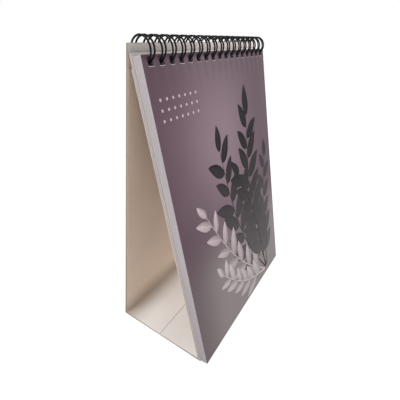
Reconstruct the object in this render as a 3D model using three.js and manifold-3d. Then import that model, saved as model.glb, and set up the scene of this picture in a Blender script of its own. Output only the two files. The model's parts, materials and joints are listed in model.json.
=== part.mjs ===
// A desk calendar: upright leaves on a twin-loop wire, standing on a folded board easel.
// Millimetres, +X to the right of the printed side, +Y to the back, +Z up.
import * as THREE from "three";
import { mergeGeometries, mergeVertices } from "three/addons/utils/BufferGeometryUtils.js";
import Module from "manifold-3d";

const manifold = await Module();
manifold.setup();

// Leaves
const LEAF_WIDTH = 148;
const LEAF_HEIGHT = 210;
const LEAF_THICKNESS = 0.35;
const LEAF_GAP = 0.12;
const LEAF_LIFT = 0.6; // the leaves' lower edges hang this far above the table
const MONTHS = 12;

// Easel boards
const BOARD_THICKNESS = 1.3;
const EASEL_DEPTH = 80;
const FRONT_LEAN = THREE.MathUtils.degToRad(12.2);
const FOLD_GAP = 0.4;
const FRONT_BOARD_TOP = -0.7; // along the front board, from the wire's centre
const BACK_BOARD_TOP = 2.2; // along the back board, from the wire's centre

// Lining paper inside the easel
const LINING_THICKNESS = 0.25;
const LINING_GAP = 0.1;
const LINING_BELOW_WIRE = 1.6;

// Twin-loop wire
const WIRE_DIAMETER = 1.0;
const RING_RADIUS = 6.3; // to the middle of the wire
const BOARD_BEHIND_CENTRE = 3.9; // the front board's rear face, behind the wire's centre
const LOOP_PITCH = 25.4 / 3;
const LOOPS = 17;
const LOOP_HALF_WIDTH = 1.45;
const TIP_HALF_WIDTH = 0.75;
const SPINE_ANGLE = THREE.MathUtils.degToRad(-48);
const TIP_ANGLE = THREE.MathUtils.degToRad(-34);
const SPINE_CORNER = 0.9;
const TAPER_START = 0.6; // share of the way round at which a loop starts to narrow
const STEPS_ROUND = 14;
const STEPS_TIP = 4;
const WIRE_SIDES = 6;
const BACK_BOARD_CLEARANCE = 0.35;

// Punched holes
const HOLE_WIDTH = 4.2;
const HOLE_HEIGHT = 4.4;
const LEAF_TOP = -2.6; // the leaves' top edge, along the leaf from the wire's centre
const HOLE_EDGE = 0.9; // from the leaves' top edge to the holes
const BOARD_HOLE_RISE = 0.4; // the front board's holes start this far above the leaves' holes
const BACK_HOLE_TOP = -2.1; // along the back board, from the wire's centre
const BACK_HOLE_HEIGHT = 4.2;
const PUNCH_OVERRUN = 1; // a punch passes this far through both faces

const WELD_DISTANCE = 1e-4; // vertices closer than this are one
const GAP_PARTS = 3; // points measured on each step of the wire

const WIRE_RADIUS = WIRE_DIAMETER / 2;
const BASE_HALF = EASEL_DEPTH / 2;
const boardWidth = LEAF_WIDTH; // boards and leaves are cut to one width

const finish = (color, roughness, metalness = 0) =>
  new THREE.MeshStandardMaterial({ color, roughness, metalness });
const boardFinish = finish(0xcfc6bb, 0.85);
const liningFinish = finish(0xd9d1c8, 0.8);
const leafFinish = finish(0xe6e2e4, 0.7);
const coverFinish = finish(0x75656c, 0.35);
const wireFinish = finish(0x1d1c20, 0.35, 0.3);

const calendar = new THREE.Group();

function addMesh(name, geometry, material, parent = calendar) {
  const mesh = new THREE.Mesh(geometry, material);
  mesh.name = name;
  parent.add(mesh);
  return mesh;
}

const loopCentres = Array.from(
  { length: LOOPS },
  (_, i) => (i - (LOOPS - 1) / 2) * LOOP_PITCH,
);

function toSolid(geometry) {
  const bare = new THREE.BufferGeometry()
    .setAttribute("position", geometry.getAttribute("position"))
    .setIndex(geometry.index);
  const merged = mergeVertices(bare, WELD_DISTANCE);
  return new manifold.Manifold(
    new manifold.Mesh({
      numProp: 3,
      vertProperties: merged.getAttribute("position").array,
      triVerts: new Uint32Array(merged.index.array),
    }),
  );
}

function toGeometry(solid) {
  const mesh = solid.getMesh();
  return new THREE.BufferGeometry()
    .setAttribute("position", new THREE.BufferAttribute(mesh.vertProperties, 3))
    .setIndex(new THREE.BufferAttribute(mesh.triVerts, 1));
}

function block(x, low, high, width, thickness, overrun = 0) {
  return new THREE.BoxGeometry(width, thickness + 2 * overrun, high - low).translate(
    x,
    thickness / 2,
    (low + high) / 2,
  );
}

// An upright plate between y 0 and its thickness, from bottom to top, with one row of punched holes.
function plate(width, bottom, top, thickness, holeTop, holeHeight) {
  const holes = loopCentres.map((x) =>
    block(x, holeTop - holeHeight, holeTop, HOLE_WIDTH, thickness, PUNCH_OVERRUN),
  );
  const sheet = toSolid(block(0, bottom, top, width, thickness));
  return toGeometry(sheet.subtract(toSolid(mergeGeometries(holes))));
}

// A profile of [y, z] points drawn across the calendar's full width.
function acrossWidth(points, width) {
  const outline = new THREE.Shape(points.map(([y, z]) => new THREE.Vector2(y, z)));
  const solid = new THREE.ExtrudeGeometry(outline, { depth: width, bevelEnabled: false });
  // The profile's own axes become Y and Z, and its depth becomes X.
  solid.applyMatrix4(
    new THREE.Matrix4().makeBasis(
      new THREE.Vector3(0, 1, 0),
      new THREE.Vector3(0, 0, 1),
      new THREE.Vector3(1, 0, 0),
    ),
  );
  return solid.translate(-width / 2, 0, 0);
}

// The wire is as high as the leaves that hang from it are long.
const frontRearFace = BOARD_BEHIND_CENTRE;
const frontFace = frontRearFace - BOARD_THICKNESS;
const ringHeight =
  LEAF_LIFT +
  (LEAF_HEIGHT - LEAF_TOP) * Math.cos(FRONT_LEAN) +
  (frontFace - LEAF_GAP) * Math.sin(FRONT_LEAN);

// The front fold lies at y 0, z 0. The front board's rear face rises from just behind it.
const boardAcross = BOARD_THICKNESS / Math.cos(FRONT_LEAN); // along Y
const rearFaceY = (z) => boardAcross + z * Math.tan(FRONT_LEAN);
const ringCentre = new THREE.Vector3(
  0,
  rearFaceY(ringHeight) - BOARD_BEHIND_CENTRE / Math.cos(FRONT_LEAN),
  ringHeight,
);

// Everything parallel to the front board is placed from the wire's centre, y to the back and z up the board.
const front = new THREE.Group();
front.position.copy(ringCentre);
front.rotation.x = -FRONT_LEAN;
calendar.add(front);

// Front board: from the table to just below the level of the wire's centre
const baseTop = BOARD_THICKNESS;
const boardFoot = baseTop + FOLD_GAP; // the upright boards stand just above the base boards
const toFront = (y, z) =>
  new THREE.Vector3(0, y, z)
    .sub(ringCentre)
    .applyAxisAngle(new THREE.Vector3(1, 0, 0), FRONT_LEAN);
const leafHoleTop = LEAF_TOP - HOLE_EDGE;
const frontFoot = toFront(rearFaceY(boardFoot), boardFoot).z + BOARD_THICKNESS * Math.tan(FRONT_LEAN);
addMesh(
  "front_board",
  plate(
    boardWidth,
    frontFoot,
    FRONT_BOARD_TOP,
    BOARD_THICKNESS,
    leafHoleTop + BOARD_HOLE_RISE,
    HOLE_HEIGHT,
  ),
  boardFinish,
  front,
).position.y = frontFace;

// The leaves lie on the front board, the last month first and the cover in front of all.
const leafBottom = LEAF_TOP - LEAF_HEIGHT;
function addLeaf(name, place, material) {
  const leaf = addMesh(
    name,
    plate(LEAF_WIDTH, leafBottom, LEAF_TOP, LEAF_THICKNESS, leafHoleTop, HOLE_HEIGHT),
    material,
    front,
  );
  leaf.position.y = frontFace - place * (LEAF_THICKNESS + LEAF_GAP);
}
for (let month = 1; month <= MONTHS; month += 1) {
  const name = "month_leaf_" + String(month).padStart(2, "0");
  addLeaf(name, MONTHS + 1 - month, leafFinish);
}
addLeaf("cover_leaf", MONTHS + 1, coverFinish);

// The wire: one length bent into hairpin loops, rolled round until each tip meets the spine again.
// An angle round the ring is 0 at the bottom and grows towards the printed side.
const onRing = (x, angle) =>
  new THREE.Vector3(x, -RING_RADIUS * Math.sin(angle), -RING_RADIUS * Math.cos(angle));
function wireRoute() {
  const tipArc = TIP_HALF_WIDTH / RING_RADIUS;
  const cornerArc = SPINE_CORNER / RING_RADIUS;
  const cornerMiddle = 1 - Math.SQRT1_2; // the middle of a round corner, as a share of its radius
  const start = SPINE_ANGLE - cornerArc;
  const end = TIP_ANGLE - 2 * Math.PI + tipArc;
  const route = [];
  const halfWidth = (share) =>
    THREE.MathUtils.lerp(
      LOOP_HALF_WIDTH,
      TIP_HALF_WIDTH,
      THREE.MathUtils.smoothstep(share, TAPER_START, 1),
    );
  loopCentres.forEach((centre, i) => {
    if (i) route.push(onRing(centre - LOOP_HALF_WIDTH - SPINE_CORNER, SPINE_ANGLE));
    const cornerX = LOOP_HALF_WIDTH + cornerMiddle * SPINE_CORNER;
    const cornerAngle = SPINE_ANGLE - cornerMiddle * cornerArc;
    route.push(onRing(centre - cornerX, cornerAngle));
    for (let step = 0; step <= STEPS_ROUND; step += 1) {
      const share = step / STEPS_ROUND;
      route.push(onRing(centre - halfWidth(share), THREE.MathUtils.lerp(start, end, share)));
    }
    for (let step = 1; step < STEPS_TIP; step += 1) {
      const turn = (Math.PI * step) / STEPS_TIP;
      route.push(onRing(centre - TIP_HALF_WIDTH * Math.cos(turn), end - tipArc * Math.sin(turn)));
    }
    for (let step = STEPS_ROUND; step >= 0; step -= 1) {
      const share = step / STEPS_ROUND;
      route.push(onRing(centre + halfWidth(share), THREE.MathUtils.lerp(start, end, share)));
    }
    route.push(onRing(centre + cornerX, cornerAngle));
    if (i < LOOPS - 1) route.push(onRing(centre + LOOP_HALF_WIDTH + SPINE_CORNER, SPINE_ANGLE));
  });
  return route;
}

// A closed tube along points, whose section is carried along without twist.
function tube(route, radius, sides) {
  const tangents = route.map((_, i) =>
    route[Math.min(i + 1, route.length - 1)].clone().sub(route[Math.max(i - 1, 0)]).normalize(),
  );
  let across = new THREE.Vector3(1, 0, 0).cross(tangents[0]).normalize();
  const positions = [];
  const index = [];
  route.forEach((point, i) => {
    const tangent = tangents[i];
    across = across.addScaledVector(tangent, -across.dot(tangent)).normalize();
    const second = tangent.clone().cross(across);
    for (let side = 0; side < sides; side += 1) {
      const turn = (2 * Math.PI * side) / sides;
      positions.push(
        ...point
          .clone()
          .addScaledVector(across, radius * Math.cos(turn))
          .addScaledVector(second, radius * Math.sin(turn)),
      );
    }
  });
  for (let i = 0; i < route.length - 1; i += 1)
    for (let side = 0; side < sides; side += 1) {
      const a = i * sides + side;
      const b = i * sides + ((side + 1) % sides);
      index.push(a, b, a + sides, b, b + sides, a + sides);
    }
  const last = (route.length - 1) * sides;
  for (let side = 1; side < sides - 1; side += 1) {
    index.push(0, side + 1, side);
    index.push(last, last + side, last + side + 1);
  }
  return new THREE.BufferGeometry()
    .setAttribute("position", new THREE.Float32BufferAttribute(positions, 3))
    .setIndex(index);
}

// The least clear gap between stretches of the wire that aren't neighbours along it.
function leastGap(route) {
  const fine = [];
  for (let i = 0; i < route.length - 1; i += 1)
    for (let part = 0; part < GAP_PARTS; part += 1)
      fine.push(route[i].clone().lerp(route[i + 1], part / GAP_PARTS));
  const along = [0];
  for (let i = 1; i < fine.length; i += 1)
    along.push(along[i - 1] + fine[i].distanceTo(fine[i - 1]));
  let least = Infinity;
  for (let i = 0; i < fine.length; i += 1)
    for (let j = i + 1; j < fine.length; j += 1)
      if (along[j] - along[i] > Math.PI * WIRE_DIAMETER)
        least = Math.min(least, fine[i].distanceTo(fine[j]));
  return least - WIRE_DIAMETER;
}
const route = wireRoute();
addMesh("wire_binding", tube(route, WIRE_RADIUS, WIRE_SIDES), wireFinish, front);
console.log("least gap of the wire to itself " + leastGap(route).toFixed(2) + " mm");

// Back board: it leans forward from the rear fold and passes behind the wire's spine.
const spine = onRing(0, SPINE_ANGLE)
  .applyAxisAngle(new THREE.Vector3(1, 0, 0), -FRONT_LEAN)
  .add(ringCentre);
const spineReach = WIRE_RADIUS + BACK_BOARD_CLEARANCE;
const rearFoot = new THREE.Vector3(0, EASEL_DEPTH, 0); // the outer edge of the rear fold
const toSpine = spine.clone().sub(rearFoot);
const rise = Math.atan2(-toSpine.y, toSpine.z);
const BACK_LEAN = rise - Math.asin((BOARD_THICKNESS + spineReach) / Math.hypot(toSpine.y, toSpine.z));
const back = new THREE.Group();
back.position.copy(rearFoot);
back.rotation.x = BACK_LEAN;
calendar.add(back);
const alongBack = (z) => z / Math.cos(BACK_LEAN);
const ringAlongBack = ringCentre
  .clone()
  .sub(rearFoot)
  .applyAxisAngle(new THREE.Vector3(1, 0, 0), -BACK_LEAN).z;
addMesh(
  "back_board",
  plate(
    boardWidth,
    alongBack(boardFoot),
    ringAlongBack + BACK_BOARD_TOP,
    BOARD_THICKNESS,
    ringAlongBack + BACK_HOLE_TOP,
    BACK_HOLE_HEIGHT,
  ),
  boardFinish,
  back,
).position.y = -BOARD_THICKNESS;

// Base: two boards that meet at the crease in the middle
addMesh(
  "base_front_board",
  acrossWidth(
    [
      [0, 0],
      [BASE_HALF - FOLD_GAP / 2, 0],
      [BASE_HALF - FOLD_GAP / 2, baseTop],
      [baseTop * Math.tan(FRONT_LEAN), baseTop],
    ],
    boardWidth,
  ),
  boardFinish,
);
addMesh(
  "base_rear_board",
  acrossWidth(
    [
      [BASE_HALF + FOLD_GAP / 2, 0],
      [EASEL_DEPTH, 0],
      [EASEL_DEPTH - baseTop * Math.tan(BACK_LEAN), baseTop],
      [BASE_HALF + FOLD_GAP / 2, baseTop],
    ],
    boardWidth,
  ),
  boardFinish,
);

// Lining paper: one sheet up the inside of both boards and over the base, which carries the folds
const innerBackY = (z) => EASEL_DEPTH - z * Math.tan(BACK_LEAN) - BOARD_THICKNESS / Math.cos(BACK_LEAN);
const liningTop = ringHeight - RING_RADIUS - WIRE_RADIUS - LINING_BELOW_WIRE;
const liningSide = (gap, z) => [
  rearFaceY(z) + gap / Math.cos(FRONT_LEAN),
  innerBackY(z) - gap / Math.cos(BACK_LEAN),
];
const outerGap = LINING_GAP;
const innerGap = LINING_GAP + LINING_THICKNESS;
addMesh(
  "lining_paper",
  acrossWidth(
    [
      [liningSide(outerGap, liningTop)[0], liningTop],
      [liningSide(outerGap, baseTop + outerGap)[0], baseTop + outerGap],
      [liningSide(outerGap, baseTop + outerGap)[1], baseTop + outerGap],
      [liningSide(outerGap, liningTop)[1], liningTop],
      [liningSide(innerGap, liningTop)[1], liningTop],
      [liningSide(innerGap, baseTop + innerGap)[1], baseTop + innerGap],
      [liningSide(innerGap, baseTop + innerGap)[0], baseTop + innerGap],
      [liningSide(innerGap, liningTop)[0], liningTop],
    ],
    boardWidth,
  ),
  liningFinish,
);

// The origin is the middle of the underside of the calendar's box.
calendar.updateMatrixWorld(true);
const box = new THREE.Box3().setFromObject(calendar, true);
const middle = box.getCenter(new THREE.Vector3());
calendar.position.set(-middle.x, -middle.y, -box.min.z);

export default calendar;
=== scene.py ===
import json
import math
import random

import bmesh
import bpy
from mathutils import Matrix, Vector


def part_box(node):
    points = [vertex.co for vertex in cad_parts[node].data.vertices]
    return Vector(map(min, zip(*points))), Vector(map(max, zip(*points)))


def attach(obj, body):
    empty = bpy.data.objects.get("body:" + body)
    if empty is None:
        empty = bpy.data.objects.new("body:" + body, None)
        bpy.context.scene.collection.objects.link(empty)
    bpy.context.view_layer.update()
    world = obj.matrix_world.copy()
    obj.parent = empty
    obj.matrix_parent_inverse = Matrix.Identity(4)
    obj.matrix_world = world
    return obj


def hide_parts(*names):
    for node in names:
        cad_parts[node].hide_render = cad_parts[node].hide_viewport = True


# A desk calendar: leaves that turn on a twin-loop wire, on a folded board easel. Sizes are in millimetres,
# and a mesh is turned to metres where it is made.
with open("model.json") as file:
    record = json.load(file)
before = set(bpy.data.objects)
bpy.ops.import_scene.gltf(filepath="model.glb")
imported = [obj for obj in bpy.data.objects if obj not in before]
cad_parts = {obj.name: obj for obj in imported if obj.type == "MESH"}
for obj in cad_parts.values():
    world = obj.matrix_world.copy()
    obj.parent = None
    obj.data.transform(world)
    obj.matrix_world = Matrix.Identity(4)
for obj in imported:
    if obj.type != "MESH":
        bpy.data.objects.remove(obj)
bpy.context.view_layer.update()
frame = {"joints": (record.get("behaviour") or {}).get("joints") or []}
MM = 0.001

# Camera. The calendar was photographed from close by, a little above the wire and well to its left, with a
# wide lens, so the printed face shrinks fast towards its right edge.
CAMERA_PLACE = Vector((-183.24, -102.39, 215.22))
CAMERA_TARGET = Vector((0, 13.67, 90.47))
CAMERA_ROLL = math.radians(1.34)

camera = bpy.data.objects.new("camera", bpy.data.cameras.new("camera"))
bpy.context.scene.collection.objects.link(camera)
camera.data.sensor_fit = "HORIZONTAL"
camera.data.sensor_width = 36
camera.data.lens = 25.68
camera.data.clip_start = 0.01
facing = (CAMERA_TARGET - CAMERA_PLACE).to_track_quat("-Z", "Y").to_matrix().to_4x4()
camera.matrix_world = Matrix.Translation(CAMERA_PLACE * MM) @ facing @ Matrix.Rotation(CAMERA_ROLL, 4, "Z")
bpy.context.scene.camera = camera
bpy.context.scene.view_settings.view_transform = "Standard"

# Table and light. A white studio table in an even white room, with three broad lamps: one high on the left,
# one low on the right that also reaches into the easel, and a weak one in front. The shadows stay pale.
ROOM_LIGHT = 0.66
FLOOR_SIZE = 12000
FLOOR_BELOW = 0.05  # keeps the table clear of the base's underside
FLOOR_GLOW = 0.8  # share of the table that shows plain white to the camera; the rest shows the shadow
FLOOR_WHITE = 1.12
LAMPS = {
    "left_lamp": {"place": (-650, 110, 1100), "size": 600, "power": 7, "mirrored": True},
    "right_lamp": {"place": (1500, -560, 330), "size": 800, "power": 29, "mirrored": False},
    "front_lamp": {"place": (200, -1300, 700), "size": 900, "power": 5, "mirrored": True},
}


def linear(code):
    """An sRGB hex colour as the linear RGBA that a shader takes."""
    parts = [int(code[i : i + 2], 16) / 255 for i in (1, 3, 5)]
    return [c / 12.92 if c <= 0.04045 else ((c + 0.055) / 1.055) ** 2.4 for c in parts] + [1.0]


def add(tree, kind, inputs=(), **settings):
    """Adds a shader node. Each input is a value, or the output of another node to link it to."""
    node = tree.nodes.new(kind)
    for key, value in settings.items():
        setattr(node, key, value)
    for key, value in dict(inputs).items():
        if isinstance(value, bpy.types.NodeSocket):
            tree.links.new(value, node.inputs[key])
        else:
            node.inputs[key].default_value = value
    return node


def new_material(name):
    material = bpy.data.materials.new(name)
    material.use_nodes = True
    material.node_tree.nodes.clear()
    return material, material.node_tree


def shown_directly(tree):
    """1 for camera, mirror and see-through rays, which show the white backdrop, and 0 for light rays."""
    rays = add(tree, "ShaderNodeLightPath").outputs
    mirrored = add(
        tree, "ShaderNodeMath", {0: rays["Is Camera Ray"], 1: rays["Is Glossy Ray"]}, operation="MAXIMUM"
    )
    return add(
        tree, "ShaderNodeMath", {0: mirrored.outputs[0], 1: rays["Is Transmission Ray"]}, operation="MAXIMUM"
    ).outputs[0]


world = bpy.data.worlds.new("white_room")
bpy.context.scene.world = world
world.use_nodes = True
tree = world.node_tree
tree.nodes.clear()
brightness = add(tree, "ShaderNodeMapRange", {"Value": shown_directly(tree), "To Min": ROOM_LIGHT})
backdrop = add(tree, "ShaderNodeBackground", {"Color": linear("#ffffff"), "Strength": brightness.outputs[0]})
add(tree, "ShaderNodeOutputWorld", {"Surface": backdrop.outputs[0]})

for lamp_name, lamp in LAMPS.items():
    data = bpy.data.lights.new(lamp_name, "AREA")
    data.size = lamp["size"] * MM
    data.energy = lamp["power"]
    holder = bpy.data.objects.new(lamp_name, data)
    bpy.context.scene.collection.objects.link(holder)
    place = Vector(lamp["place"])
    facing = (CAMERA_TARGET - place).to_track_quat("-Z", "Y").to_matrix().to_4x4()
    holder.matrix_world = Matrix.Translation(place * MM) @ facing
    holder.visible_glossy = lamp["mirrored"]  # the low lamp would put a streak across the cover's varnish

white_table, tree = new_material("white_painted_table")
paint = add(tree, "ShaderNodeBsdfDiffuse", {"Color": linear("#f2f2f2")})
glow = add(tree, "ShaderNodeEmission", {"Color": linear("#ffffff"), "Strength": FLOOR_WHITE})
share = add(tree, "ShaderNodeMath", {0: shown_directly(tree), 1: FLOOR_GLOW}, operation="MULTIPLY")
mixed = add(tree, "ShaderNodeMixShader", {0: share.outputs[0], 1: paint.outputs[0], 2: glow.outputs[0]})
add(tree, "ShaderNodeOutputMaterial", {"Surface": mixed.outputs[0]})
bpy.ops.mesh.primitive_plane_add(size=FLOOR_SIZE * MM, location=(0, 0, -FLOOR_BELOW * MM))
floor = bpy.context.object
floor.name = "floor"
floor.data.materials.append(white_table)

# Upright boards. Two pieces of 1.3 mm greyboard, each covered all round in uncoated off-white paper that is
# turned over the edges, so these are softly rounded. A row of die-cut holes takes the wire. Above the leaves,
# the margin by the wire shows, painted paler as painted light, and darker towards its left end as painted
# shade.
FRONT_LEAN = math.radians(12.2)
BACK_LEAN = math.radians(8.821)
BOARD_THICKNESS = 1.3
BOARD_ROUND = 0.35
BOARD_CORNER = 0.6
FOLD_GAP = 0.4  # between an upright board and the base board below it
FRONT_BOARD_TOP = -0.7  # tops are measured up the board from the wire's centre
FRONT_HOLE_TOP = -3.1
FRONT_HOLE_HEIGHT = 4.4
FRONT_BOARD_FACE = 2.6  # behind the wire's centre
BACK_BOARD_TOP = 2.2
BACK_HOLE_TOP = -2.1
BACK_HOLE_HEIGHT = 4.2
HOLE_WIDTH = 4.2
HOLE_CORNER = 1.2
LOOPS = 17
LOOP_PITCH = 25.4 / 3
CORNER_STEPS = 4
LEAST_CORNER = 0.02
PAPER_CLOUD = 28  # width of the clouding, and length of the fibres, in the papers
PAPER_FIBRE = 0.8
MARGIN_FROM = (204.5, 207)  # heights between which the boards' own tone turns to the margin's, painted paler as painted light
LEFT_SHADE_FROM = (-74, 10)  # across the boards, from the margin's left end, darkest with painted shade, to where it has none
LEFT_SHADE_TONE = 0.52

wire_centre = Vector(frame["joints"][0]["pos_m"]) / MM
loop_centres = [(i - (LOOPS - 1) / 2) * LOOP_PITCH for i in range(LOOPS)]
half_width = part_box("front_board")[1].x / MM
rear_fold = Vector((0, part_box("base_rear_board")[1].y / MM, 0))
front_fold = Vector((0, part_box("base_front_board")[0].y / MM, 0))
front_space = Matrix.Translation(wire_centre) @ Matrix.Rotation(-FRONT_LEAN, 4, "X")
back_space = Matrix.Translation(rear_fold) @ Matrix.Rotation(BACK_LEAN, 4, "X")


def box_outline(left, right, low, high, corner, grow):
    """Points round a box with round corners, after each side has moved out by grow."""
    left, right, low, high = left - grow, right + grow, low - grow, high + grow
    corner = max(corner + grow, LEAST_CORNER)
    points = []
    middles = ((right, high, -1, -1), (left, high, 1, -1), (left, low, 1, 1), (right, low, -1, 1))
    for quarter, (x, z, inward_x, inward_z) in enumerate(middles):
        for step in range(CORNER_STEPS + 1):
            turn = (quarter + step / CORNER_STEPS) * math.pi / 2
            points.append(
                (
                    x + inward_x * corner + corner * math.cos(turn),
                    z + inward_z * corner + corner * math.sin(turn),
                )
            )
    return points


def to_object(name, work, space, split=38):
    """Turns a mesh in millimetres, drawn in its own space, into an object that lies in its place."""
    bmesh.ops.recalc_face_normals(work, faces=work.faces)
    work.transform(Matrix.Scale(MM, 4) @ space)
    data = bpy.data.meshes.new(name)
    work.to_mesh(data)
    work.free()
    data.shade_smooth()
    data.set_sharp_from_angle(angle=math.radians(split))
    made = bpy.data.objects.new(name, data)
    bpy.context.scene.collection.objects.link(made)
    return made


def punched_plate(name, sides, ends, near, thickness, holes, rounding, corner, space):
    """An upright plate with a row of holes. rounding softens every edge, the holes' edges too.

    Its faces take the first material, its outer edge the second and the holes' walls the third. A leaf is so
    thin that its edges get one chamfer, where a board's get a round.
    """
    turns = (0, 0.5) if thickness < BOARD_THICKNESS else (0, 0.25, 0.5)
    stations = []
    for turn in turns:
        depth = rounding * (1 - math.cos(turn * math.pi))
        stations.append((depth, rounding * (1 - math.sin(turn * math.pi))))
    stations += [(thickness - depth, inset) for depth, inset in reversed(stations)]
    hole_top, hole_height = holes
    work = bmesh.new()
    rings = []
    for depth, inset in stations:
        outlines = [box_outline(*sides, *ends, corner, -inset)]
        outlines += [
            box_outline(
                x - HOLE_WIDTH / 2, x + HOLE_WIDTH / 2, hole_top - hole_height, hole_top, HOLE_CORNER, inset
            )
            for x in loop_centres
        ]
        rings.append([[work.verts.new((x, near + depth, z)) for x, z in points] for points in outlines])
    for first, second in zip(rings, rings[1:]):
        for outline, (here, there) in enumerate(zip(first, second)):
            for i in range(len(here)):
                wall = work.faces.new((here[i - 1], here[i], there[i], there[i - 1]))
                wall.material_index = 2 if outline else 1
    for ring in (rings[0], rings[-1]):
        edges = [work.edges.get((loop[i - 1], loop[i])) for loop in ring for i in range(len(loop))]
        bmesh.ops.triangle_fill(work, edges=edges, use_beauty=True, normal=(0, 1, 0))
    return to_object(name, work, space)


def paper_material(name, light, dark, fleck, relief, roughness=0.85):
    """Uncoated paper: matt, with flecks and fibres under a millimetre long, and clouding about 3 cm wide."""
    material, tree = new_material(name)
    place = add(tree, "ShaderNodeTexCoord").outputs["Object"]
    clouds = add(
        tree, "ShaderNodeTexNoise", {"Vector": place, "Scale": 1 / (PAPER_CLOUD * MM), "Detail": 3.0}
    )
    fibres = add(
        tree,
        "ShaderNodeTexNoise",
        {"Vector": place, "Scale": 1 / (PAPER_FIBRE * MM), "Detail": 5.0, "Roughness": 0.7},
    )
    base = add(tree, "ShaderNodeValToRGB", {"Fac": clouds.outputs["Fac"]})
    base.color_ramp.elements[0].position = 0.3
    base.color_ramp.elements[0].color = linear(dark)
    base.color_ramp.elements[1].position = 0.7
    base.color_ramp.elements[1].color = linear(light)
    flecks = add(tree, "ShaderNodeValToRGB", {"Fac": fibres.outputs["Fac"]})
    flecks.color_ramp.elements[0].position = 0.3
    flecks.color_ramp.elements[0].color = linear(fleck)
    flecks.color_ramp.elements[1].position = 0.52
    flecks.color_ramp.elements[1].color = linear("#ffffff")
    tinted = add(
        tree,
        "ShaderNodeMix",
        {0: 1.0, 6: base.outputs[0], 7: flecks.outputs[0]},
        data_type="RGBA",
        blend_type="MULTIPLY",
    )
    bump = add(
        tree,
        "ShaderNodeBump",
        {"Strength": 0.5, "Distance": relief * MM, "Height": fibres.outputs["Fac"]},
    )
    surface = add(
        tree,
        "ShaderNodeBsdfPrincipled",
        {
            "Base Color": tinted.outputs[2],
            "Roughness": roughness,
            "IOR": 1.48,
            "Specular IOR Level": 0.3,
            "Normal": bump.outputs[0],
        },
    )
    add(tree, "ShaderNodeOutputMaterial", {"Surface": surface.outputs[0]})
    return material


def colour_of(material):
    """A paper's node tree, its shader's colour socket, what feeds that socket, and the axes of its points."""
    tree = material.node_tree
    socket = tree.nodes["Principled BSDF"].inputs["Base Color"]
    spot = add(tree, "ShaderNodeSeparateXYZ", {0: add(tree, "ShaderNodeTexCoord").outputs["Object"]})
    return tree, socket, socket.links[0].from_socket, spot.outputs


def shaded_towards(material, axis, darkest_at, unshaded_at, tone):
    """Painted shade: darkens a paper towards one end, where this share of its colour is left."""
    tree, socket, unshaded, axes = colour_of(material)
    shade_ramp = add(
        tree,
        "ShaderNodeMapRange",
        {"Value": axes[axis], "From Min": darkest_at * MM, "From Max": unshaded_at * MM, "To Min": tone},
    )
    darkened = add(
        tree,
        "ShaderNodeMix",
        {0: 1.0, 6: unshaded, 7: shade_ramp.outputs[0]},
        data_type="RGBA",
        blend_type="MULTIPLY",
    )
    tree.links.new(darkened.outputs[2], socket)


def margin_paper(name, below):
    """A board's forward face: the margin by the wire, painted pale as painted light, over the tone that the
    face has below it.
    """
    material = paper_material(name, "#eae4df", "#e4deda", "#e2deda", relief=0.04)
    # Painted shade darkens the margin towards its left end; its pale tone is painted light.
    shaded_towards(material, "X", *LEFT_SHADE_FROM, LEFT_SHADE_TONE)
    tree, socket, retoned, axes = colour_of(material)
    margin = add(
        tree,
        "ShaderNodeMapRange",
        {"Value": axes["Z"], "From Min": MARGIN_FROM[0] * MM, "From Max": MARGIN_FROM[1] * MM},
    )
    mixed = add(tree, "ShaderNodeMix", {0: margin.outputs[0], 6: linear(below), 7: retoned}, data_type="RGBA")
    tree.links.new(mixed.outputs[2], socket)
    return material


# Where the paper is turned over an edge it is darker: grey on the front board, and buff on the back board and
# the base. Above the lining, the back board's forward face has the lining's painted warm shade.
covering_paper = paper_material("covering_paper", "#ccc2bb", "#c7bdb6", "#e2deda", relief=0.04)
front_margin_paper = margin_paper("front_margin_paper", "#ccc2bb")
back_margin_paper = margin_paper("back_margin_paper", "#ccb8a7")
front_turn_in = paper_material("grey_turned_edge", "#b3aaaa", "#aea5a4", "#e2deda", relief=0.03)
back_turn_in = paper_material("buff_turned_edge", "#9a8a7b", "#968677", "#e2deda", relief=0.03)

front_foot = (front_space.inverted() @ front_fold).z
front_foot += (BOARD_THICKNESS + FOLD_GAP) / math.cos(FRONT_LEAN) + BOARD_THICKNESS * math.tan(FRONT_LEAN)
wire_up_back = (back_space.inverted() @ wire_centre).z
front_panel = punched_plate(
    "front_panel",
    (-half_width, half_width),
    (front_foot, FRONT_BOARD_TOP),
    FRONT_BOARD_FACE,
    BOARD_THICKNESS,
    (FRONT_HOLE_TOP, FRONT_HOLE_HEIGHT),
    BOARD_ROUND,
    BOARD_CORNER,
    front_space,
)
back_panel = punched_plate(
    "back_panel",
    (-half_width, half_width),
    ((BOARD_THICKNESS + FOLD_GAP) / math.cos(BACK_LEAN), wire_up_back + BACK_BOARD_TOP),
    -BOARD_THICKNESS,
    BOARD_THICKNESS,
    (wire_up_back + BACK_HOLE_TOP, BACK_HOLE_HEIGHT),
    BOARD_ROUND,
    BOARD_CORNER,
    back_space,
)
for panel, node, edge, margin in (
    (front_panel, "front_board", front_turn_in, front_margin_paper),
    (back_panel, "back_board", back_turn_in, back_margin_paper),
):
    for finish in (covering_paper, edge, back_turn_in, margin):
        panel.data.materials.append(finish)
    # The forward face is the one that the margin's paper is on.
    for face in panel.data.polygons:
        if face.normal.y < -0.9:
            face.material_index = 3
    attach(panel, "easel")
    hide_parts(node)

# Base. Two halves of the same wrapped board, a hair apart at the crease, and a strip of the covering paper
# round each fold, which carries the outside of the easel from the base up to the upright boards.
STRIP_THICKNESS = 0.12
STRIP_REACH = 9
FOLD_ROUND = 1.1
FOLD_STEPS = 8
BASE_BEVEL = 0.7 * BOARD_ROUND


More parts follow.
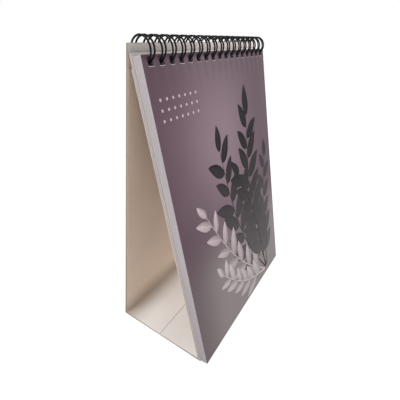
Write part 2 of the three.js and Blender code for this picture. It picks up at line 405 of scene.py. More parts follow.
def round_corners(points, radius):
    """A line of [y, z] points with each inner corner turned into an arc."""
    rounded = [points[0]]
    for before, corner, after in zip(points, points[1:], points[2:]):
        inward = (before - corner).normalized()
        onward = (after - corner).normalized()
        half = inward.angle(onward) / 2
        middle = corner + (inward + onward).normalized() * (radius / math.sin(half))
        reach = radius / math.tan(half)
        first = corner + inward * reach - middle
        last = corner + onward * reach - middle
        for step in range(FOLD_STEPS + 1):
            rounded.append(middle + first.slerp(last, step / FOLD_STEPS))
    return rounded + [points[-1]]


def bent_sheet(name, line, thickness):
    """A sheet as wide as the boards, along a line of [y, z] points. Its thickness goes to the line's left."""
    work = bmesh.new()
    rows = []
    for i, point in enumerate(line):
        before = (point - line[i - 1]).normalized() if i else (line[1] - point).normalized()
        after = (line[i + 1] - point).normalized() if i < len(line) - 1 else before
        aim = (before + after).normalized()
        inner = point + Vector((-aim.y, aim.x)) * (thickness / aim.dot(after))
        rows.append([work.verts.new((x, y, z)) for y, z in (point, inner) for x in (-half_width, half_width)])
    for first, second in zip(rows, rows[1:]):
        for a, b in ((0, 1), (1, 3), (3, 2), (2, 0)):
            work.faces.new((first[a], first[b], second[b], second[a]))
    for end in (rows[0], rows[-1]):
        work.faces.new((end[0], end[1], end[3], end[2]))
    return to_object(name, work, Matrix.Identity(4))


for node in ("base_front_board", "base_rear_board"):
    low, high = (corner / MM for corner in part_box(node))
    if node == "base_front_board":
        section = [(low.y, low.z), (high.y, low.z), (high.y, high.z)]
        section.append((low.y + BOARD_THICKNESS * math.tan(FRONT_LEAN), high.z))
    else:
        section = [(low.y, low.z), (high.y, low.z)]
        section += [(high.y - BOARD_THICKNESS * math.tan(BACK_LEAN), high.z), (low.y, high.z)]
    work = bmesh.new()
    ends = [[work.verts.new((x, y, z)) for y, z in section] for x in (low.x, high.x)]
    for end in ends:
        work.faces.new(end)
    for i in range(4):
        work.faces.new((ends[0][i - 1], ends[0][i], ends[1][i], ends[1][i - 1]))
    bmesh.ops.bevel(work, geom=work.edges, offset=BASE_BEVEL, segments=3, profile=0.5, affect="EDGES")
    half = to_object(node.replace("_board", "_half"), work, Matrix.Identity(4))
    half.data.materials.append(covering_paper)
    half.data.materials.append(back_turn_in)
    for face in half.data.polygons:
        face.material_index = int(abs(face.normal.x) > 0.5)
    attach(half, "easel")
    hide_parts(node)

up_front = Vector((math.sin(FRONT_LEAN), math.cos(FRONT_LEAN)))
up_back = Vector((-math.sin(BACK_LEAN), math.cos(BACK_LEAN)))
front_corner = front_fold.yz
rear_corner = rear_fold.yz
fold_lines = {
    "front_fold_strip": [
        front_corner + up_front * STRIP_REACH,
        front_corner,
        front_corner + Vector((STRIP_REACH, 0)),
    ],
    "rear_fold_strip": [
        rear_corner - Vector((STRIP_REACH, 0)),
        rear_corner,
        rear_corner + up_back * STRIP_REACH,
    ],
}
for name, line in fold_lines.items():
    strip = bent_sheet(name, round_corners(line, FOLD_ROUND), STRIP_THICKNESS)
    strip.data.materials.append(covering_paper)
    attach(strip, "easel")

# Lining. One sheet of thinner paper pasted up the inside of both upright boards and across the base. It is
# the hinge at the folds, and a scored crease across the middle of the base lets the easel fold flat.
LINING_THICKNESS = 0.25
LINING_GAP = 0.1
LINING_FOLD_ROUND = 1.6
CREASE_WIDTH = 1.4
CREASE_DEPTH = 0.2
CREASE_PLACES = (-0.6, -0.2, 0.2, 0.6)  # where the groove has points, from -1 at one side to 1 at the other
CREASE_TONE = 0.72  # the score is rubbed grey, with painted shade for its groove
FOLD_SHADE_TONE = 0.64  # painted shade darkens the rear fold, less and less up to this far from it
FOLD_SHADE_REACH = 21
WARM_SHADE_FROM = (24, 43)  # towards the back, from where the paper is unshaded to where its painted warm shade is full
WARM_SHADE_ABOVE = (1.8, 6)  # the same up the back board
LINING_CLOUD = 35
LINING_FIBRE = 0.9
WRINKLE_SCALE = (12, 280, 80)  # to a metre, so wrinkles are long across the base and close from front to back
ANYWHERE = 1000  # a reach, in metres, so long that the place along that axis makes no difference

lining_low, lining_high = (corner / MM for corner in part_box("lining_paper"))
lining_floor = lining_low.z
inner_front = front_corner.x + (BOARD_THICKNESS + LINING_GAP) / math.cos(FRONT_LEAN)
inner_back = rear_corner.x - (BOARD_THICKNESS + LINING_GAP) / math.cos(BACK_LEAN)
crease_middle = (front_corner.x + rear_corner.x) / 2


def on_front_lining(z):
    return Vector((inner_front + z * math.tan(FRONT_LEAN), z))


def on_back_lining(z):
    return Vector((inner_back - z * math.tan(BACK_LEAN), z))


down_the_front = [on_front_lining(lining_high.z), on_front_lining(lining_floor)]
down_the_front.append(Vector((crease_middle - CREASE_WIDTH / 2, lining_floor)))
front_half = round_corners(down_the_front, LINING_FOLD_ROUND)
up_the_back = [Vector((crease_middle + CREASE_WIDTH / 2, lining_floor))]
up_the_back += [on_back_lining(lining_floor), on_back_lining(lining_high.z)]
back_half = round_corners(up_the_back, LINING_FOLD_ROUND)
groove = []
for share in CREASE_PLACES:
    dip = CREASE_DEPTH * math.cos(share * math.pi / 2)
    groove.append(Vector((crease_middle + CREASE_WIDTH / 2 * share, lining_floor - dip)))
lining = bent_sheet("lining_sheet", front_half + groove + back_half, LINING_THICKNESS)

# Uncoated cream paper: matt, with a fine grain. Painted warm shade darkens it up the back board and near it,
# as light bounced inside the easel would. Folding it has left faint wrinkles across the base.
lining_paper, tree = new_material("cream_lining_paper")
place = add(tree, "ShaderNodeTexCoord").outputs["Object"]
spot = add(tree, "ShaderNodeSeparateXYZ", {0: place})
clouds = add(tree, "ShaderNodeTexNoise", {"Vector": place, "Scale": 1 / (LINING_CLOUD * MM), "Detail": 2.0})
fibres = add(
    tree,
    "ShaderNodeTexNoise",
    {"Vector": place, "Scale": 1 / (LINING_FIBRE * MM), "Detail": 5.0, "Roughness": 0.7},
)
stretched = add(tree, "ShaderNodeMapping", {"Vector": place, "Scale": WRINKLE_SCALE})
wrinkles = add(tree, "ShaderNodeTexNoise", {"Vector": stretched.outputs[0], "Scale": 1.0, "Detail": 3.0})
# Painted warm shade: the lining turns warmer and darker towards the back board and up it.
rearward = add(
    tree,
    "ShaderNodeMapRange",
    {
        "Value": spot.outputs["Y"],
        "From Min": WARM_SHADE_FROM[0] * MM,
        "From Max": WARM_SHADE_FROM[1] * MM,
    },
    interpolation_type="SMOOTHSTEP",
)
# The plane that leans midway between the two uprights tells the back board's lining from the front board's.
midway = add(
    tree,
    "ShaderNodeMath",
    {0: spot.outputs["Z"], 1: (math.tan(FRONT_LEAN) - math.tan(BACK_LEAN)) / 2, 2: crease_middle * MM},
    operation="MULTIPLY_ADD",
)
behind = add(tree, "ShaderNodeMath", {0: spot.outputs["Y"], 1: midway.outputs[0]}, operation="GREATER_THAN")
raised = add(
    tree,
    "ShaderNodeMapRange",
    {
        "Value": spot.outputs["Z"],
        "From Min": WARM_SHADE_ABOVE[0] * MM,
        "From Max": WARM_SHADE_ABOVE[1] * MM,
    },
)
up_back = add(tree, "ShaderNodeMath", {0: behind.outputs[0], 1: raised.outputs[0]}, operation="MULTIPLY")
warm_shade = add(tree, "ShaderNodeMath", {0: rearward.outputs[0], 1: up_back.outputs[0]}, operation="MAXIMUM")
toned = add(
    tree,
    "ShaderNodeMix",
    {0: warm_shade.outputs[0], 6: linear("#e3deda"), 7: linear("#ccb8a7")},
    data_type="RGBA",
)
clouded = add(tree, "ShaderNodeMapRange", {"Value": clouds.outputs["Fac"], "To Min": 0.93, "To Max": 1.05})
past_crease = add(tree, "ShaderNodeMath", {0: spot.outputs["Y"], 1: crease_middle * MM}, operation="SUBTRACT")
from_crease = add(tree, "ShaderNodeMath", {0: past_crease.outputs[0]}, operation="ABSOLUTE")
# The crease is rubbed grey, and the shade of its groove is painted in too.
rubbed_and_shaded = add(
    tree,
    "ShaderNodeMapRange",
    {
        "Value": from_crease.outputs[0],
        "From Min": CREASE_WIDTH / 4 * MM,
        "From Max": CREASE_WIDTH / 2 * MM,
        "To Min": CREASE_TONE,
    },
)
# Painted shade along the rear fold, fading away from it.
round_fold = add(
    tree,
    "ShaderNodeMapping",
    {
        "Vector": place,
        "Location": (0, inner_back * MM, (lining_floor + LINING_THICKNESS) * MM),
        "Scale": (ANYWHERE, FOLD_SHADE_REACH * MM, FOLD_SHADE_REACH * MM),
    },
    vector_type="TEXTURE",
)
from_fold = add(tree, "ShaderNodeVectorMath", {0: round_fold.outputs[0]}, operation="LENGTH")
fold_shade = add(tree, "ShaderNodeMapRange", {"Value": from_fold.outputs["Value"], "To Min": FOLD_SHADE_TONE})
# The front board's lining leans over the crease, so the crease's tone is kept to the base.
on_base = add(tree, "ShaderNodeMath", {0: rubbed_and_shaded.outputs[0], 1: raised.outputs[0]}, operation="MAXIMUM")
retoned = add(tree, "ShaderNodeMath", {0: fold_shade.outputs[0], 1: on_base.outputs[0]}, operation="MULTIPLY")
lit_share = add(tree, "ShaderNodeMath", {0: clouded.outputs[0], 1: retoned.outputs[0]}, operation="MULTIPLY")
shaded = add(
    tree,
    "ShaderNodeMix",
    {0: 1.0, 6: toned.outputs[2], 7: lit_share.outputs[0]},
    data_type="RGBA",
    blend_type="MULTIPLY",
)
uneven = add(
    tree,
    "ShaderNodeBump",
    {"Strength": 0.35, "Distance": 0.3 * MM, "Height": wrinkles.outputs["Fac"]},
)
grain = add(
    tree,
    "ShaderNodeBump",
    {"Strength": 0.4, "Distance": 0.04 * MM, "Height": fibres.outputs["Fac"], "Normal": uneven.outputs[0]},
)
surface = add(
    tree,
    "ShaderNodeBsdfPrincipled",
    {
        "Base Color": shaded.outputs[2],
        "Roughness": 0.8,
        "IOR": 1.48,
        "Specular IOR Level": 0.3,
        "Normal": grain.outputs[0],
    },
)
add(tree, "ShaderNodeOutputMaterial", {"Surface": surface.outputs[0]})
lining.data.materials.append(lining_paper)
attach(lining, "easel")
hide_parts("lining_paper")

# Month leaves. Twelve leaves of 0.35 mm card, guillotined together, so their edges make a close striped
# block that is a little uneven. Each is printed with a bar, a rule and a block of dots, seven to a week.
MONTHS = 12
LEAF_THICKNESS = 0.35
LEAF_PITCH = 0.47
LEAF_TOP = -2.6
LEAF_HEIGHT = 210
LEAF_HOLES = (-3.5, 4.4)
LEAF_CHAMFER = 0.05
LEAF_CORNER = 0.5
LEAF_UNEVEN = 0.3
REAR_LEAVES_IN = 0.7  # the two rearmost leaves were cut narrower, which leaves a thin shadow by the board
EDGE_SHADED_TO = 90  # the cut edges have painted shade at the foot, and none from this height
EDGE_FOOT_TONE = 0.8
DOT_RADIUS = 1.5
DOT_SIDES = 20
DOT_PITCH_ACROSS = 17.5
DOT_PITCH_DOWN = 19
INK_THICKNESS = 0.02
HALFTONE = 0.5  # width of the printing screen's grain
HALFTONE_DARK = 0.82
DAYS = 7
WEEKS = 5
DOTS_TOP = -100
HEADING_REACH = 54
HEADING_BAR = (-14, -66, 7)  # right end, top and height of a bar, and of the rule below it
HEADING_RULE = (HEADING_REACH, -84, 0.6)
HEADING_CORNER = 0.2
random.seed(12)


def disc(work, x, z, radius, front):
    """One printed dot, whose face lies at depth front."""
    rim = [
        work.verts.new((x + radius * math.cos(turn), front, z + radius * math.sin(turn)))
        for turn in (2 * math.pi * i / DOT_SIDES for i in range(DOT_SIDES))
    ]
    back = [work.verts.new(v.co + Vector((0, INK_THICKNESS, 0))) for v in rim]
    work.faces.new(rim)
    work.faces.new(back)
    for i in range(DOT_SIDES):
        work.faces.new((rim[i - 1], rim[i], back[i], back[i - 1]))


def ink_material(name, colour, roughness):
    """Offset ink: a thin even film, a little glossier than the paper, with its halftone grain."""
    material, tree = new_material(name)
    place = add(tree, "ShaderNodeTexCoord").outputs["Object"]
    grain = add(tree, "ShaderNodeTexNoise", {"Vector": place, "Scale": 1 / (HALFTONE * MM), "Detail": 3.0})
    tone = add(tree, "ShaderNodeValToRGB", {"Fac": grain.outputs["Fac"]})
    tone.color_ramp.elements[0].position = 0.25
    tone.color_ramp.elements[0].color = [c * HALFTONE_DARK for c in linear(colour)[:3]] + [1]
    tone.color_ramp.elements[1].position = 0.75
    tone.color_ramp.elements[1].color = linear(colour)
    surface = add(
        tree,
        "ShaderNodeBsdfPrincipled",
        {"Base Color": tone.outputs[0], "Roughness": roughness, "Specular IOR Level": 0.3},
    )
    add(tree, "ShaderNodeOutputMaterial", {"Surface": surface.outputs[0]})
    return material


leaf_face = paper_material(
    "uncoated_leaf_face", "#d6d1d2", "#d3cecf", "#f4f2f3", relief=0.004, roughness=0.75
)
# The cut edges take a darker copy of the leaves' paper as painted shade, darkened further towards the foot as
# painted shade too.
cut_edge = paper_material(
    "guillotined_card_edge", "#c0b8bb", "#bbb3b6", "#f4f2f3", relief=0.004, roughness=0.75
)
shaded_towards(cut_edge, "Z", 0, EDGE_SHADED_TO, EDGE_FOOT_TONE)
# The holes' walls are painted dark, as painted shade deep in the holes.
shaded_hole_wall = paper_material("shaded_hole_wall", "#6f656b", "#645a60", "#dedad8", relief=0.015)
grey_ink = ink_material("grey_ink", "#8d858a", 0.6)
mauve_ink = ink_material("mauve_ink", "#9a828c", 0.6)
for month in range(1, MONTHS + 1):
    node = f"month_leaf_{month:02d}"
    body = "first_leaf" if month == 1 else "leaf_pad"
    front = FRONT_BOARD_FACE - (MONTHS + 1 - month) * LEAF_PITCH
    set_in = REAR_LEAVES_IN if month > MONTHS - 2 else 0
    left = -half_width + set_in + random.uniform(0, LEAF_UNEVEN)
    right = half_width - set_in - random.uniform(0, LEAF_UNEVEN)
    low = LEAF_TOP - LEAF_HEIGHT + random.uniform(0, LEAF_UNEVEN)
    leaf = punched_plate(
        node.replace("leaf", "card"),
        (left, right),
        (low, LEAF_TOP - random.uniform(0, LEAF_UNEVEN / 2)),
        front,
        LEAF_THICKNESS,
        LEAF_HOLES,
        LEAF_CHAMFER,
        LEAF_CORNER,
        front_space,
    )
    for finish in (leaf_face, cut_edge, shaded_hole_wall):
        leaf.data.materials.append(finish)
    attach(leaf, body)
    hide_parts(node)

    work = bmesh.new()
    for right_end, rule_top, rule_height in (HEADING_BAR, HEADING_RULE):
        outline = box_outline(
            -HEADING_REACH, right_end, rule_top - rule_height, rule_top, HEADING_CORNER, 0
        )
        film = [[work.verts.new((x, front - depth, z)) for x, z in outline] for depth in (INK_THICKNESS, 0)]
        for face in film:
            work.faces.new(face)
        for i in range(len(outline)):
            work.faces.new((film[0][i - 1], film[0][i], film[1][i], film[1][i - 1]))
    for day in range(DAYS):
        for week in range(WEEKS):
            disc(
                work,
                (day - (DAYS - 1) / 2) * DOT_PITCH_ACROSS,
                DOTS_TOP - week * DOT_PITCH_DOWN,
                DOT_RADIUS,
                front - INK_THICKNESS,
            )
    dots = to_object(f"month_dots_{month:02d}", work, front_space)
    dots.data.materials.append(grey_ink if month % 2 else mauve_ink)
    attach(dots, body)

# Cover leaf. Card of the same size, printed all over in a mauve that darkens from its middle, whose light is
# partly a painted sheen, and turns to a pale grey at its foot. A silk varnish gives it a low sheen. A pale
# rim lies below each hole.
COVER_PLACE = 13
COVER_SET_BACK = 0.04  # leaves room for the ink in front of the card
GLOW_CENTRE = (-12, 150)  # across and up from the table, where the mauve is lightest: print and painted sheen
GLOW_REACH = (75, 92)  # from there to where it is darkest
PALE_FOOT = (52, 106)  # heights above the table between which the print turns to a paler grey
SIDE_SHADE = (-76, -34)  # the left edge of the pale foot is in shade
GLOW_CLOUD = 60  # width of the glow's unevenness, and the share of its reach that this moves it by
GLOW_UNEVEN = 0.25
GLOW_SHIFT = -0.12
SHEET_WAVE = 45  # the card isn't quite flat
WAVE_DEPTH = 1.2
FLUTE_LENGTH = 17
FLUTE_DEPTH = 0.05
RIM_WIDTHS = (3.91, 4.6)
RIM_HEIGHTS = (0.182, 0.26)
RIM_LEAST = 0.02  # height at its ends
RIM_RISE = 0.18  # its ends follow the hole's round corners up by this much
RIM_SLANT = 0.08
RIM_STEPS = 10

cover_front = FRONT_BOARD_FACE - COVER_PLACE * LEAF_PITCH + COVER_SET_BACK
hole_bottom = LEAF_HOLES[0] - LEAF_HOLES[1]
cover = punched_plate(
    "printed_cover",
    (-half_width, half_width),
    (LEAF_TOP - LEAF_HEIGHT, LEAF_TOP),
    cover_front,
    LEAF_THICKNESS - COVER_SET_BACK,
    LEAF_HOLES,
    LEAF_CHAMFER,
    LEAF_CORNER,
    front_space,
)
silk_cover, tree = new_material("silk_varnished_card")
place = add(tree, "ShaderNodeTexCoord").outputs["Object"]
spot = add(tree, "ShaderNodeSeparateXYZ", {0: place})
offset = add(
    tree,
    "ShaderNodeMapping",
    {
        "Vector": place,
        "Location": (GLOW_CENTRE[0] * MM, 0, GLOW_CENTRE[1] * MM),
        "Scale": (GLOW_REACH[0] * MM, ANYWHERE, GLOW_REACH[1] * MM),
    },
    vector_type="TEXTURE",
)
distance = add(tree, "ShaderNodeVectorMath", {0: offset.outputs[0]}, operation="LENGTH")
drift = add(tree, "ShaderNodeTexNoise", {"Vector": place, "Scale": 1 / (GLOW_CLOUD * MM), "Detail": 1.0})
drifted = add(
    tree,
    "ShaderNodeMath",
    {0: drift.outputs["Fac"], 1: GLOW_UNEVEN, 2: GLOW_SHIFT},
    operation="MULTIPLY_ADD",
)
faded = add(tree, "ShaderNodeMath", {0: distance.outputs["Value"], 1: drifted.outputs[0]}, operation="ADD")
# The mauve is lightest round GLOW_CENTRE: partly the print, partly a painted sheen.
mauve = add(tree, "ShaderNodeValToRGB", {"Fac": faded.outputs[0]})
mauve.color_ramp.interpolation = "EASE"
mauve.color_ramp.elements[0].position = 0.0
mauve.color_ramp.elements[0].color = linear("#74626a")
mauve.color_ramp.elements[1].position = 1.0
mauve.color_ramp.elements[1].color = linear("#4f3d46")
side = add(
    tree,
    "ShaderNodeMapRange",
    {"Value": spot.outputs["X"], "From Min": SIDE_SHADE[0] * MM, "From Max": SIDE_SHADE[1] * MM},
    interpolation_type="SMOOTHSTEP",
)
pale_grey = add(
    tree,
    "ShaderNodeMix",
    {0: side.outputs[0], 6: linear("#564b4e"), 7: linear("#6e6666")},
    data_type="RGBA",
)
foot_share = add(
    tree,
    "ShaderNodeMapRange",
    {
        "Value": spot.outputs["Z"],
        "From Min": PALE_FOOT[0] * MM,
        "From Max": PALE_FOOT[1] * MM,
        "To Min": 1.0,
        "To Max": 0.0,
    },
    interpolation_type="SMOOTHSTEP",
)
ink = add(
    tree,
    "ShaderNodeMix",
    {0: foot_share.outputs[0], 6: mauve.outputs[0], 7: pale_grey.outputs[2]},
    data_type="RGBA",
)
screen = add(tree, "ShaderNodeTexNoise", {"Vector": place, "Scale": 1 / (HALFTONE * MM), "Detail": 2.0})
print_grain = add(
    tree, "ShaderNodeMapRange", {"Value": screen.outputs["Fac"], "To Min": 0.94, "To Max": 1.06}
)
printed = add(
    tree,
    "ShaderNodeMix",
    {0: 1.0, 6: ink.outputs[2], 7: print_grain.outputs[0]},
    data_type="RGBA",
    blend_type="MULTIPLY",
)
sheet_waves = add(
    tree, "ShaderNodeTexNoise", {"Vector": place, "Scale": 1 / (SHEET_WAVE * MM), "Detail": 1.0}
)
waves = add(
    tree,
    "ShaderNodeBump",
    {"Strength": 0.3, "Distance": WAVE_DEPTH * MM, "Height": sheet_waves.outputs["Fac"]},
)
# The card is pressed into shallow flutes below the holes, one to each loop of the wire.
phase = add(
    tree,
    "ShaderNodeMath",
    {0: spot.outputs["X"], 1: 2 * math.pi / (LOOP_PITCH * MM)},
    operation="MULTIPLY",
)
flutes = add(tree, "ShaderNodeMath", {0: phase.outputs[0]}, operation="COSINE")
below_holes = (wire_centre.z + hole_bottom) * MM
flute_share = add(
    tree,
    "ShaderNodeMapRange",
    {"Value": spot.outputs["Z"], "From Min": below_holes - FLUTE_LENGTH * MM, "From Max": below_holes},
    interpolation_type="SMOOTHSTEP",
)
pressed = add(tree, "ShaderNodeMath", {0: flutes.outputs[0], 1: flute_share.outputs[0]}, operation="MULTIPLY")
bump = add(
    tree,
    "ShaderNodeBump",
    {"Distance": FLUTE_DEPTH * MM, "Height": pressed.outputs[0], "Normal": waves.outputs[0]},
)
surface = add(
    tree,
    "ShaderNodeBsdfPrincipled",
    {
        "Base Color": printed.outputs[2],
        "Roughness": 0.45,
        "IOR": 1.5,
        "Specular IOR Level": 0.1,
        "Normal": bump.outputs[0],
    },
)
add(tree, "ShaderNodeOutputMaterial", {"Surface": surface.outputs[0]})
for finish in (silk_cover, cut_edge, shaded_hole_wall, leaf_face):
    cover.data.materials.append(finish)
# The cover's reverse isn't printed, so it looks as the leaves do.
to_the_rear = front_space.to_3x3() @ Vector((0, 1, 0))
for face in cover.data.polygons:
    if face.normal.dot(to_the_rear) > 0.9:
        face.material_index = 3
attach(cover, "cover")
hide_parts("cover_leaf")

# A pale rim below each hole, standing slightly proud of both faces of the cover.
work = bmesh.new()
for middle in loop_centres:
    width = random.uniform(*RIM_WIDTHS)
    height = random.uniform(*RIM_HEIGHTS)
    slant = random.uniform(-RIM_SLANT, RIM_SLANT)
    upper = []
    lower = []
    for step in range(RIM_STEPS + 1):
        share = 2 * step / RIM_STEPS - 1
        sag = math.sqrt(max(0, 1 - share**2))
        edge = hole_bottom - LEAF_CHAMFER + slant * share
        upper.append((middle + share * width / 2, edge + RIM_RISE * share**2))
        lower.append((middle + share * width / 2, edge - height * sag - RIM_LEAST))
    points = upper + lower[::-1]
    front = [work.verts.new((x, cover_front - INK_THICKNESS, z)) for x, z in points]
    back = [work.verts.new((x, cover_front + INK_THICKNESS, z)) for x, z in points]
    work.faces.new(front)
    work.faces.new(back)
    for i in range(len(front)):
        work.faces.new((front[i - 1], front[i], back[i], back[i - 1]))
rims = to_object("pale_hole_rims", work, front_space)
pale_rim_paper = paper_material("pale_rim_card", "#aca1a6", "#a1969b", "#e9e4e6", relief=0.02, roughness=0.8)
rims.data.materials.append(pale_rim_paper)
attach(rims, "cover")

# Cover print. A bunch of dark leafy stems that fans out from the foot, with paler sprigs among them, greyed
# lower down by a painted sheen, and a small block of dots, seven across. Each shape is a film of ink on the
# card.

# A spray is its stem's root and tip, how far the stem bows, its number of leaves, a leaf's length and width,
# and its ink.
SPRAYS = [
    ((46, -205), (30, -50), 12, 17, 36, 15, "#1b181a"),
    ((44, -206), (-16, -66), 12, 16, 34, 14, "#201c1f"),
    ((42, -207), (-44, -104), 9, 13, 28, 11, "#93878a"),
    ((48, -205), (60, -92), 5, 11, 26, 13, "#252124"),
    ((42, -207), (-34, -160), 8, 12, 24, 10, "#a09697"),
    ((44, -206), (8, -92), -6, 13, 30, 14, "#171416"),
]
STEM_STEPS = 24
STEM_HALF_WIDTH = (0.75, 0.25)  # at its root and at its tip
STEM_TONE = 1.2
AIM_REACH = 0.01  # a stem's direction is taken over this share of it on either side of a point
FIRST_LEAF_AT = 0.16  # share of the stem below its lowest leaf
LEAF_SPLAY = (38, 58)  # degrees from the stem
LEAF_SIZES = (1.05, 0.6)  # shares of a spray's leaf length and width, at the stem's root and at its tip
LEAF_VARIES = (0.88, 1.1)
LEAF_LEAST = 5
LEAF_CURL = 2.2
LEAF_FULLNESS = 0.8  # below 1, a leaf is fuller, and widest nearer its base
LEAF_TONES = (0.85, 1.15)  # of a leaf's two halves
MIDRIB_PALER = 0.5
VEIN_PALER = 0.12  # on every second row of a leaf's points
LEAF_BASE_TONE = 0.85
LEAF_TIP_PALER = 0.35
LEAF_ROWS = 14
LEAF_COLUMNS = (-1, -0.55, -0.06, 0.06, 0.55, 1)  # across a leaf; the two in the middle are its midrib
PRINT_EDGE = 3  # the print keeps this far from the card's sides
SHEEN_FROM = -70  # from here down to the foot, the print's inks turn to this share of a grey, a painted sheen
SHEEN_SHARE = 0.55
SHEEN_GREY = "#6b6566"
DOT_BLOCK = {"left": -66.5, "top": -24, "pitch": 5.4, "rows": 3, "radius": 0.85}
LAYER = 0.0002  # each leaf's ink lies this much over the last one's

work = bmesh.new()
ink_layer = work.verts.layers.float_color.new("ink")
lift = INK_THICKNESS / 2
sheen_grey = linear(SHEEN_GREY)


def ink_patch(rows, tones, front):
    """A film of ink over a grid of [x, z] points, with one tone for each point."""
    grid = []
    for row, row_tones in zip(rows, tones):
        line = []
        for (x, z), tone in zip(row, row_tones):
            vert = work.verts.new((x, front, z))
            vert[ink_layer] = tone
            line.append(vert)
        grid.append(line)
    for first, second in zip(grid, grid[1:]):
        for i in range(len(first) - 1):
            work.faces.new((first[i], first[i + 1], second[i + 1], second[i]))


def leaf_patch(base, aim, length, width, curl, colour, front):
    """One printed leaf: pointed at both ends, with a pale midrib, veins and one half paler than the other."""
    side = Vector((-aim.y, aim.x))
    rows = []
    tones = []
    for i in range(LEAF_ROWS + 1):
        share = i / LEAF_ROWS
        middle = base + aim * (length * share) + side * (curl * math.sin(share * math.pi / 2) ** 2)
        half = width / 2 * max(math.sin(math.pi * share**LEAF_FULLNESS), 0.01) ** LEAF_FULLNESS
        row = []
        row_tones = []
        for across in LEAF_COLUMNS:
            point = middle + side * (half * across)
            shade = LEAF_TONES[across > 0.1]
            if abs(across) < 0.1:
                shade += MIDRIB_PALER
            elif abs(across) < 1 and i % 2:
                shade += VEIN_PALER
            # Lower down, each tone is mixed towards a grey: a painted sheen over the ink.
            depth = min(max((SHEEN_FROM - point.y) / (SHEEN_FROM - LEAF_TOP + LEAF_HEIGHT), 0), 1)
            tone = [c * shade * (LEAF_BASE_TONE + LEAF_TIP_PALER * share) for c in colour[:3]]
            row.append(point)
            row_tones.append([c + (h - c) * SHEEN_SHARE * depth for c, h in zip(tone, sheen_grey)] + [1])
        rows.append(row)
        tones.append(row_tones)
    ink_patch(rows, tones, front)


def on_stem(stem, share):
    """The point this share of the way up a stem, which is its root, its way to the tip and its bow."""
    root, way, bow = stem
    return root + way * share + bow * math.sin(math.pi * share)


def stem_aim(stem, share):
    ahead = on_stem(stem, min(share + AIM_REACH, 1))
    return (ahead - on_stem(stem, max(share - AIM_REACH, 0))).normalized()


for root, tip, bow, leaves, leaf_length, leaf_width, ink_code in SPRAYS:
    way = Vector(tip) - Vector(root)
    stem = (Vector(root), way, Vector((-way.y, way.x)).normalized() * bow)
    colour = linear(ink_code)
    stalk = []
    for i in range(STEM_STEPS + 1):
        share = i / STEM_STEPS
        aim = stem_aim(stem, share)
        half = STEM_HALF_WIDTH[0] + (STEM_HALF_WIDTH[1] - STEM_HALF_WIDTH[0]) * share
        side = Vector((-aim.y, aim.x)) * half
        stalk.append([on_stem(stem, share) - side, on_stem(stem, share) + side])
    stalk_tone = [c * STEM_TONE for c in colour[:3]] + [1]
    lift += LAYER
    ink_patch(stalk, [[stalk_tone] * 2] * len(stalk), cover_front - lift)
    for i in range(leaves):
        share = FIRST_LEAF_AT + (1 - FIRST_LEAF_AT) * i / (leaves - 1)
        hand = 1 if i % 2 else -1
        turn = 0 if i == leaves - 1 else hand * math.radians(random.uniform(*LEAF_SPLAY))
        heading = Matrix.Rotation(turn, 2) @ stem_aim(stem, share)
        size = LEAF_SIZES[0] + (LEAF_SIZES[1] - LEAF_SIZES[0]) * share
        size *= random.uniform(*LEAF_VARIES)
        base = on_stem(stem, share)
        length = leaf_length * size
        overshoot = max(abs((base + heading * length).x) - (half_width - PRINT_EDGE), 0)
        length = max(length - overshoot * 1.2, LEAF_LEAST)
        lift += LAYER
        leaf_patch(base, heading, length, leaf_width * size, -hand * LEAF_CURL, colour, cover_front - lift)
sprays = to_object("printed_sprays", work, front_space)

painted_ink, tree = new_material("varnished_offset_ink")
tone = add(tree, "ShaderNodeAttribute", attribute_name="ink")
place = add(tree, "ShaderNodeTexCoord").outputs["Object"]
screen = add(tree, "ShaderNodeTexNoise", {"Vector": place, "Scale": 1 / (HALFTONE * MM), "Detail": 2.0})
grain = add(tree, "ShaderNodeMapRange", {"Value": screen.outputs["Fac"], "To Min": 0.9, "To Max": 1.1})
toned = add(
    tree,
    "ShaderNodeMix",
    {0: 1.0, 6: tone.outputs["Color"], 7: grain.outputs[0]},
    data_type="RGBA",
    blend_type="MULTIPLY",
)
surface = add(
    tree,
    "ShaderNodeBsdfPrincipled",
    {"Base Color": toned.outputs[2], "Roughness": 0.45, "IOR": 1.5, "Specular IOR Level": 0.03},
)
add(tree, "ShaderNodeOutputMaterial", {"Surface": surface.outputs[0]})
sprays.data.materials.append(painted_ink)

work = bmesh.new()
for row in range(DOT_BLOCK["rows"]):
    for column in range(DAYS):
        disc(
            work,
            DOT_BLOCK["left"] + column * DOT_BLOCK["pitch"],
            DOT_BLOCK["top"] - row * DOT_BLOCK["pitch"],
            DOT_BLOCK["radius"],
            cover_front - INK_THICKNESS,
        )
cover_dots = to_object("cover_dots", work, front_space)
cover_dots.data.materials.append(ink_material("pale_ink", "#ab999e", 0.45))
for piece in (sprays, cover_dots):
    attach(piece, "cover")

# Wire. One steel wire, 1 mm thick with its black nylon coat, bent into 17 hairpin loops that are rolled round
# until each tip meets the spine again, in the slit between the two boards.
WIRE_DIAMETER = 1.0
RING_RADIUS = 6.3
LOOP_HALF_WIDTH = 1.45
TIP_HALF_WIDTH = 0.75
SPINE_ANGLE = math.radians(-48)
TIP_ANGLE = math.radians(-34)
SPINE_CORNER = 0.9
TAPER_START = 0.6
STEPS_ROUND = 44
STEPS_TIP = 10
STEPS_CORNER = 5


def on_ring(x, angle):
    return front_space @ Vector((x, -RING_RADIUS * math.sin(angle), -RING_RADIUS * math.cos(angle)))


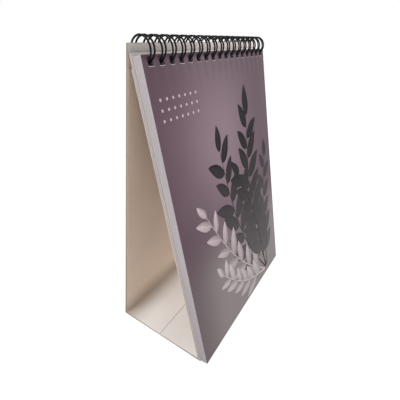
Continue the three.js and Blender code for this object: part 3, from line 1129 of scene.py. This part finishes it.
corner_arc = SPINE_CORNER / RING_RADIUS
tip_arc = TIP_HALF_WIDTH / RING_RADIUS
strand_start = SPINE_ANGLE - corner_arc
strand_end = TIP_ANGLE - 2 * math.pi + tip_arc
half_loop = []
for step in range(STEPS_CORNER):
    turn = step / STEPS_CORNER * math.pi / 2
    aside = LOOP_HALF_WIDTH + SPINE_CORNER * (1 - math.sin(turn))
    half_loop.append((aside, SPINE_ANGLE - corner_arc * (1 - math.cos(turn))))
for step in range(STEPS_ROUND + 1):
    share = step / STEPS_ROUND
    ease = min(max((share - TAPER_START) / (1 - TAPER_START), 0), 1)
    ease = ease * ease * (3 - 2 * ease)
    aside = LOOP_HALF_WIDTH + (TIP_HALF_WIDTH - LOOP_HALF_WIDTH) * ease
    half_loop.append((aside, strand_start + (strand_end - strand_start) * share))
for step in range(1, STEPS_TIP // 2 + 1):
    turn = step / STEPS_TIP * math.pi
    half_loop.append((TIP_HALF_WIDTH * math.cos(turn), strand_end - tip_arc * math.sin(turn)))
# At the row's two ends the wire is cut off part of the way round the corner to the next stretch of spine.
wire_route = []
for i, centre in enumerate(loop_centres):
    out = half_loop[STEPS_CORNER - 2 :] if i == 0 else half_loop
    home = half_loop[STEPS_CORNER - 2 :] if i == LOOPS - 1 else half_loop
    wire_route += [on_ring(centre - aside, angle) for aside, angle in out]
    wire_route += [on_ring(centre + aside, angle) for aside, angle in reversed(home[:-1])]

data = bpy.data.curves.new("twin_loop_wire", "CURVE")
data.dimensions = "3D"
data.bevel_depth = WIRE_DIAMETER / 2 * MM
data.bevel_resolution = 4
data.use_fill_caps = True
spline = data.splines.new("POLY")
spline.points.add(len(wire_route) - 1)
for point, place in zip(spline.points, wire_route):
    point.co = (*(place * MM), 1)
spline.use_smooth = True
wire = bpy.data.objects.new("twin_loop_wire", data)
bpy.context.scene.collection.objects.link(wire)

# Dipped nylon: a soft black with a low sheen and a fine orange-peel skin.
nylon_coat, tree = new_material("black_nylon_coat")
place = add(tree, "ShaderNodeTexCoord").outputs["Object"]
skin = add(tree, "ShaderNodeTexNoise", {"Vector": place, "Scale": 1 / (1.2 * MM), "Detail": 2.0})
tone = add(tree, "ShaderNodeValToRGB", {"Fac": skin.outputs["Fac"]})
tone.color_ramp.elements[0].color = linear("#06060b")
tone.color_ramp.elements[1].color = linear("#0f0f18")
bump = add(tree, "ShaderNodeBump", {"Strength": 0.3, "Distance": 0.03 * MM, "Height": skin.outputs["Fac"]})
surface = add(
    tree,
    "ShaderNodeBsdfPrincipled",
    {
        "Base Color": tone.outputs[0],
        "Roughness": 0.4,
        "IOR": 1.53,
        "Specular IOR Level": 0.12,
        "Normal": bump.outputs[0],
    },
)
add(tree, "ShaderNodeOutputMaterial", {"Surface": surface.outputs[0]})
data.materials.append(nylon_coat)
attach(wire, "easel")
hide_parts("wire_binding")
